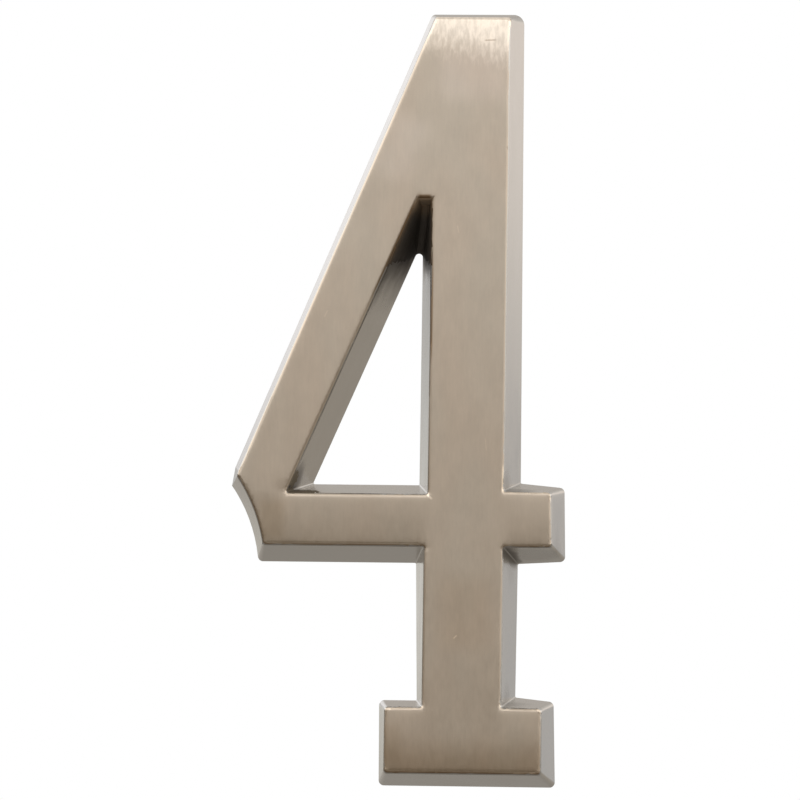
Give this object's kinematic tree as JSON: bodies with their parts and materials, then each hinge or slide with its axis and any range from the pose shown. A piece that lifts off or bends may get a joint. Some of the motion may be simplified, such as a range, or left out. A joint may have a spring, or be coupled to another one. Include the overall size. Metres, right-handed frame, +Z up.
{
  "type": "house number",
  "caption": "Cast figure 4 for a house wall in satin nickel, with a slab foot, drafted walls, a pierced counter and a hollow back with hidden stud holes.",
  "frame": {"origin": "on the wall plane, on the stem's axis, midway between the two tapped holes", "axes": "+Z up the figure, +Y out of its back into the wall, -Y out of its face, +X to the viewer's right"},
  "size_m": [0.0442, 0.0095, 0.1017],
  "materials": {
    "satin_nickel": "satin nickel plate, brushed upright on the face"
  },
  "bodies": {
    "root": {"house_number": "satin_nickel"}
  },
  "joints": []
}
